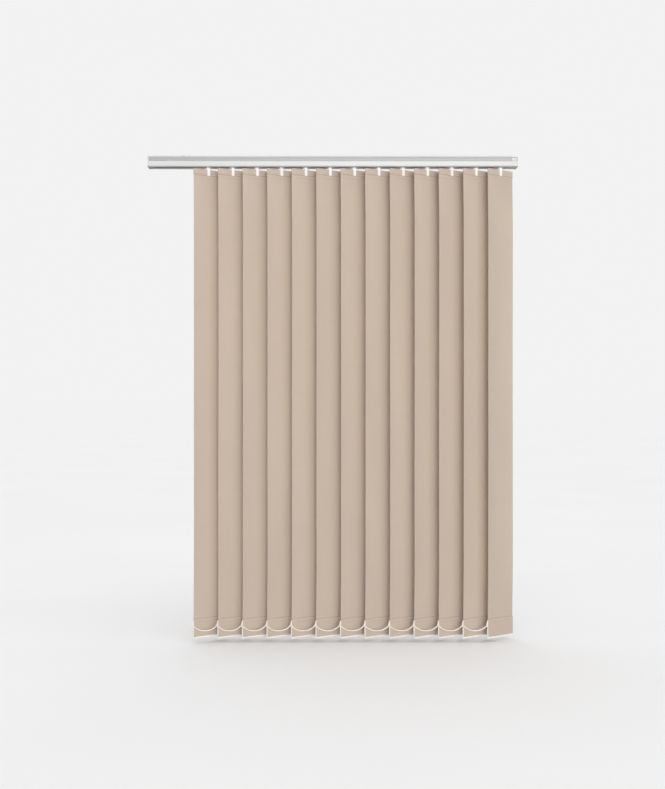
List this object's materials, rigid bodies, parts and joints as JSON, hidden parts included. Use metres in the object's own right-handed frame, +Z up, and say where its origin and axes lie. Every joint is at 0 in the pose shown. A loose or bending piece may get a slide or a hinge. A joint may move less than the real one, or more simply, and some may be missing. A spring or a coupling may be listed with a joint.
{
  "type": "vertical blind",
  "caption": "Vertical blind: slotted headrail with carriers and tilt rod, fabric vanes on hooks with weighted bottom pockets, and a linking bottom bead chain.",
  "frame": {"origin": "on the ceiling plane, midway between the two ceiling screw holes, above the middle of the headrail", "axes": "+X along the headrail towards the stacking and control end, +Y towards the window, +Z up"},
  "size_m": [1.01, 0.0597, 1.3147],
  "materials": {
    "rail_enamel": "white satin powder coat on extruded aluminium",
    "cap_plastic": "white moulded plastic, fine texture",
    "bracket_steel": "zinc plated spring steel",
    "rod_aluminium": "mill finish extrusion",
    "carrier_plastic": "light grey acetal",
    "hook_plastic": "white moulded plastic, satin",
    "vane_fabric": "plain woven beige polyester, stiffened",
    "chain_plastic": "cream-white bead chain"
  },
  "bodies": {
    "rail": {"headrail": "rail_enamel", "idler_end_cap": "cap_plastic", "control_end_cap": "cap_plastic", "brackets": "bracket_steel", "carrier_13": "carrier_plastic"},
    "tilt_shaft": {"tilt_rod": "rod_aluminium", "chain_sprocket": "carrier_plastic"},
    "carriage_01": {"carrier_01": "carrier_plastic"},
    "carriage_02": {"carrier_02": "carrier_plastic"},
    "carriage_03": {"carrier_03": "carrier_plastic"},
    "carriage_04": {"carrier_04": "carrier_plastic"},
    "carriage_05": {"carrier_05": "carrier_plastic"},
    "carriage_06": {"carrier_06": "carrier_plastic"},
    "carriage_07": {"carrier_07": "carrier_plastic"},
    "carriage_08": {"carrier_08": "carrier_plastic"},
    "carriage_09": {"carrier_09": "carrier_plastic"},
    "carriage_10": {"carrier_10": "carrier_plastic"},
    "carriage_11": {"carrier_11": "carrier_plastic"},
    "carriage_12": {"carrier_12": "carrier_plastic"},
    "worm_gear_01": {"worm_01": "carrier_plastic"},
    "worm_gear_02": {"worm_02": "carrier_plastic"},
    "worm_gear_03": {"worm_03": "carrier_plastic"},
    "worm_gear_04": {"worm_04": "carrier_plastic"},
    "worm_gear_05": {"worm_05": "carrier_plastic"},
    "worm_gear_06": {"worm_06": "carrier_plastic"},
    "worm_gear_07": {"worm_07": "carrier_plastic"},
    "worm_gear_08": {"worm_08": "carrier_plastic"},
    "worm_gear_09": {"worm_09": "carrier_plastic"},
    "worm_gear_10": {"worm_10": "carrier_plastic"},
    "worm_gear_11": {"worm_11": "carrier_plastic"},
    "worm_gear_12": {"worm_12": "carrier_plastic"},
    "worm_gear_13": {"worm_13": "carrier_plastic"},
    "vane_01": {"slat_01": "vane_fabric", "vane_hardware_01": "hook_plastic"},
    "vane_02": {"slat_02": "vane_fabric", "vane_hardware_02": "hook_plastic"},
    "vane_03": {"slat_03": "vane_fabric", "vane_hardware_03": "hook_plastic"},
    "vane_04": {"slat_04": "vane_fabric", "vane_hardware_04": "hook_plastic"},
    "vane_05": {"slat_05": "vane_fabric", "vane_hardware_05": "hook_plastic"},
    "vane_06": {"slat_06": "vane_fabric", "vane_hardware_06": "hook_plastic"},
    "vane_07": {"slat_07": "vane_fabric", "vane_hardware_07": "hook_plastic"},
    "vane_08": {"slat_08": "vane_fabric", "vane_hardware_08": "hook_plastic"},
    "vane_09": {"slat_09": "vane_fabric", "vane_hardware_09": "hook_plastic"},
    "vane_10": {"slat_10": "vane_fabric", "vane_hardware_10": "hook_plastic"},
    "vane_11": {"slat_11": "vane_fabric", "vane_hardware_11": "hook_plastic"},
    "vane_12": {"slat_12": "vane_fabric", "vane_hardware_12": "hook_plastic"},
    "vane_13": {"slat_13": "vane_fabric", "vane_hardware_13": "hook_plastic"},
    "chain": {"bottom_chain": "chain_plastic"},
    "chain_lead": {"chain_end_clip": "chain_plastic"}
  },
  "joints": [
    {"name": "traverse", "type": "slide", "parent": "rail", "child": "carriage_01", "axis": [1, 0, 0], "range_m": [-0.1185, 0.4995], "deforming": ["bottom_chain"]},
    {"name": "traverse_02", "type": "slide", "parent": "rail", "child": "carriage_02", "axis": [1, 0, 0], "range_m": [-0.10963, 0.45887]},
    {"name": "traverse_03", "type": "slide", "parent": "rail", "child": "carriage_03", "axis": [1, 0, 0], "range_m": [-0.09975, 0.41725]},
    {"name": "traverse_04", "type": "slide", "parent": "rail", "child": "carriage_04", "axis": [1, 0, 0], "range_m": [-0.08987, 0.37562]},
    {"name": "traverse_05", "type": "slide", "parent": "rail", "child": "carriage_05", "axis": [1, 0, 0], "range_m": [-0.08, 0.334]},
    {"name": "traverse_06", "type": "slide", "parent": "rail", "child": "carriage_06", "axis": [1, 0, 0], "range_m": [-0.07013, 0.29237]},
    {"name": "traverse_07", "type": "slide", "parent": "rail", "child": "carriage_07", "axis": [1, 0, 0], "range_m": [-0.06025, 0.25075]},
    {"name": "traverse_08", "type": "slide", "parent": "rail", "child": "carriage_08", "axis": [1, 0, 0], "range_m": [-0.05038, 0.20913]},
    {"name": "traverse_09", "type": "slide", "parent": "rail", "child": "carriage_09", "axis": [1, 0, 0], "range_m": [-0.0405, 0.1675]},
    {"name": "traverse_10", "type": "slide", "parent": "rail", "child": "carriage_10", "axis": [1, 0, 0], "range_m": [-0.03062, 0.12587]},
    {"name": "traverse_11", "type": "slide", "parent": "rail", "child": "carriage_11", "axis": [1, 0, 0], "range_m": [-0.02075, 0.08425]},
    {"name": "traverse_12", "type": "slide", "parent": "rail", "child": "carriage_12", "axis": [1, 0, 0], "range_m": [-0.01087, 0.04263]},
    {"name": "tilt_01", "type": "hinge", "parent": "carriage_01", "child": "vane_01", "pos_m": [-0.3405, 0, -0.02], "axis": [0, 0, 1], "range_deg": [-22, 136]},
    {"name": "tilt_02", "type": "hinge", "parent": "carriage_02", "child": "vane_02", "pos_m": [-0.27387, 0, -0.02], "axis": [0, 0, 1], "range_deg": [-22, 136]},
    {"name": "tilt_03", "type": "hinge", "parent": "carriage_03", "child": "vane_03", "pos_m": [-0.20725, 0, -0.02], "axis": [0, 0, 1], "range_deg": [-22, 136]},
    {"name": "tilt_04", "type": "hinge", "parent": "carriage_04", "child": "vane_04", "pos_m": [-0.14062, 0, -0.02], "axis": [0, 0, 1], "range_deg": [-22, 136]},
    {"name": "tilt_05", "type": "hinge", "parent": "carriage_05", "child": "vane_05", "pos_m": [-0.074, 0, -0.02], "axis": [0, 0, 1], "range_deg": [-22, 136]},
    {"name": "tilt_06", "type": "hinge", "parent": "carriage_06", "child": "vane_06", "pos_m": [-0.00737, 0, -0.02], "axis": [0, 0, 1], "range_deg": [-22, 136]},
    {"name": "tilt_07", "type": "hinge", "parent": "carriage_07", "child": "vane_07", "pos_m": [0.05925, 0, -0.02], "axis": [0, 0, 1], "range_deg": [-22, 136]},
    {"name": "tilt_08", "type": "hinge", "parent": "carriage_08", "child": "vane_08", "pos_m": [0.12587, 0, -0.02], "axis": [0, 0, 1], "range_deg": [-22, 136]},
    {"name": "tilt_09", "type": "hinge", "parent": "carriage_09", "child": "vane_09", "pos_m": [0.1925, 0, -0.02], "axis": [0, 0, 1], "range_deg": [-22, 136]},
    {"name": "tilt_10", "type": "hinge", "parent": "carriage_10", "child": "vane_10", "pos_m": [0.25912, 0, -0.02], "axis": [0, 0, 1], "range_deg": [-22, 136]},
    {"name": "tilt_11", "type": "hinge", "parent": "carriage_11", "child": "vane_11", "pos_m": [0.32575, 0, -0.02], "axis": [0, 0, 1], "range_deg": [-22, 136]},
    {"name": "tilt_12", "type": "hinge", "parent": "carriage_12", "child": "vane_12", "pos_m": [0.39237, 0, -0.02], "axis": [0, 0, 1], "range_deg": [-22, 136]},
    {"name": "tilt", "type": "hinge", "parent": "rail", "child": "vane_13", "pos_m": [0.459, 0, -0.02], "axis": [0, 0, 1], "range_deg": [-21, 135]},
    {"name": "worm_turn_01", "type": "hinge", "parent": "carriage_01", "child": "worm_gear_01", "pos_m": [-0.3405, 0.008, -0.0198], "axis": [1, 0, 0], "range_deg": [-88, 544]},
    {"name": "worm_turn_02", "type": "hinge", "parent": "carriage_02", "child": "worm_gear_02", "pos_m": [-0.27387, 0.008, -0.0198], "axis": [1, 0, 0], "range_deg": [-88, 544]},
    {"name": "worm_turn_03", "type": "hinge", "parent": "carriage_03", "child": "worm_gear_03", "pos_m": [-0.20725, 0.008, -0.0198], "axis": [1, 0, 0], "range_deg": [-88, 544]},
    {"name": "worm_turn_04", "type": "hinge", "parent": "carriage_04", "child": "worm_gear_04", "pos_m": [-0.14062, 0.008, -0.0198], "axis": [1, 0, 0], "range_deg": [-88, 544]},
    {"name": "worm_turn_05", "type": "hinge", "parent": "carriage_05", "child": "worm_gear_05", "pos_m": [-0.074, 0.008, -0.0198], "axis": [1, 0, 0], "range_deg": [-88, 544]},
    {"name": "worm_turn_06", "type": "hinge", "parent": "carriage_06", "child": "worm_gear_06", "pos_m": [-0.00737, 0.008, -0.0198], "axis": [1, 0, 0], "range_deg": [-88, 544]},
    {"name": "worm_turn_07", "type": "hinge", "parent": "carriage_07", "child": "worm_gear_07", "pos_m": [0.05925, 0.008, -0.0198], "axis": [1, 0, 0], "range_deg": [-88, 544]},
    {"name": "worm_turn_08", "type": "hinge", "parent": "carriage_08", "child": "worm_gear_08", "pos_m": [0.12587, 0.008, -0.0198], "axis": [1, 0, 0], "range_deg": [-88, 544]},
    {"name": "worm_turn_09", "type": "hinge", "parent": "carriage_09", "child": "worm_gear_09", "pos_m": [0.1925, 0.008, -0.0198], "axis": [1, 0, 0], "range_deg": [-88, 544]},
    {"name": "worm_turn_10", "type": "hinge", "parent": "carriage_10", "child": "worm_gear_10", "pos_m": [0.25912, 0.008, -0.0198], "axis": [1, 0, 0], "range_deg": [-88, 544]},
    {"name": "worm_turn_11", "type": "hinge", "parent": "carriage_11", "child": "worm_gear_11", "pos_m": [0.32575, 0.008, -0.0198], "axis": [1, 0, 0], "range_deg": [-88, 544]},
    {"name": "worm_turn_12", "type": "hinge", "parent": "carriage_12", "child": "worm_gear_12", "pos_m": [0.39237, 0.008, -0.0198], "axis": [1, 0, 0], "range_deg": [-88, 544]},
    {"name": "worm_turn_13", "type": "hinge", "parent": "rail", "child": "worm_gear_13", "pos_m": [0.459, 0.008, -0.0198], "axis": [1, 0, 0], "range_deg": [-88, 544]},
    {"name": "rod_turn", "type": "hinge", "parent": "rail", "child": "tilt_shaft", "pos_m": [0, 0.008, -0.0198], "axis": [1, 0, 0], "range_deg": [-88, 544]},
    {"name": "chain_level", "type": "hinge", "parent": "vane_13", "child": "chain", "pos_m": [0.41933, -0.02576, -1.2774], "axis": [0, 0, 1], "range_deg": [-136, 22]},
    {"name": "chain_draw", "type": "slide", "parent": "chain", "child": "chain_lead", "axis": [1, 0, 0], "range_m": [-0.1195, 0.5005]}
  ],
  "couplings": [
    {"joint": "traverse_02", "follows": "traverse", "ratio": 0.91667},
    {"joint": "traverse_03", "follows": "traverse", "ratio": 0.83333},
    {"joint": "traverse_04", "follows": "traverse", "ratio": 0.75},
    {"joint": "traverse_05", "follows": "traverse", "ratio": 0.66667},
    {"joint": "traverse_06", "follows": "traverse", "ratio": 0.58333},
    {"joint": "traverse_07", "follows": "traverse", "ratio": 0.5},
    {"joint": "traverse_08", "follows": "traverse", "ratio": 0.41667},
    {"joint": "traverse_09", "follows": "traverse", "ratio": 0.33333},
    {"joint": "traverse_10", "follows": "traverse", "ratio": 0.25},
    {"joint": "traverse_11", "follows": "traverse", "ratio": 0.16667},
    {"joint": "traverse_12", "follows": "traverse", "ratio": 0.083333},
    {"joint": "tilt_01", "follows": "tilt", "ratio": 1},
    {"joint": "tilt_02", "follows": "tilt", "ratio": 1},
    {"joint": "tilt_03", "follows": "tilt", "ratio": 1},
    {"joint": "tilt_04", "follows": "tilt", "ratio": 1},
    {"joint": "tilt_05", "follows": "tilt", "ratio": 1},
    {"joint": "tilt_06", "follows": "tilt", "ratio": 1},
    {"joint": "tilt_07", "follows": "tilt", "ratio": 1},
    {"joint": "tilt_08", "follows": "tilt", "ratio": 1},
    {"joint": "tilt_09", "follows": "tilt", "ratio": 1},
    {"joint": "tilt_10", "follows": "tilt", "ratio": 1},
    {"joint": "tilt_11", "follows": "tilt", "ratio": 1},
    {"joint": "tilt_12", "follows": "tilt", "ratio": 1},
    {"joint": "worm_turn_01", "follows": "tilt", "ratio": 4},
    {"joint": "worm_turn_02", "follows": "tilt", "ratio": 4},
    {"joint": "worm_turn_03", "follows": "tilt", "ratio": 4},
    {"joint": "worm_turn_04", "follows": "tilt", "ratio": 4},
    {"joint": "worm_turn_05", "follows": "tilt", "ratio": 4},
    {"joint": "worm_turn_06", "follows": "tilt", "ratio": 4},
    {"joint": "worm_turn_07", "follows": "tilt", "ratio": 4},
    {"joint": "worm_turn_08", "follows": "tilt", "ratio": 4},
    {"joint": "worm_turn_09", "follows": "tilt", "ratio": 4},
    {"joint": "worm_turn_10", "follows": "tilt", "ratio": 4},
    {"joint": "worm_turn_11", "follows": "tilt", "ratio": 4},
    {"joint": "worm_turn_12", "follows": "tilt", "ratio": 4},
    {"joint": "worm_turn_13", "follows": "tilt", "ratio": 4},
    {"joint": "rod_turn", "follows": "tilt", "ratio": 4},
    {"joint": "chain_level", "follows": "tilt", "ratio": -1},
    {"joint": "chain_draw", "follows": "traverse", "ratio": 1}
  ]
}
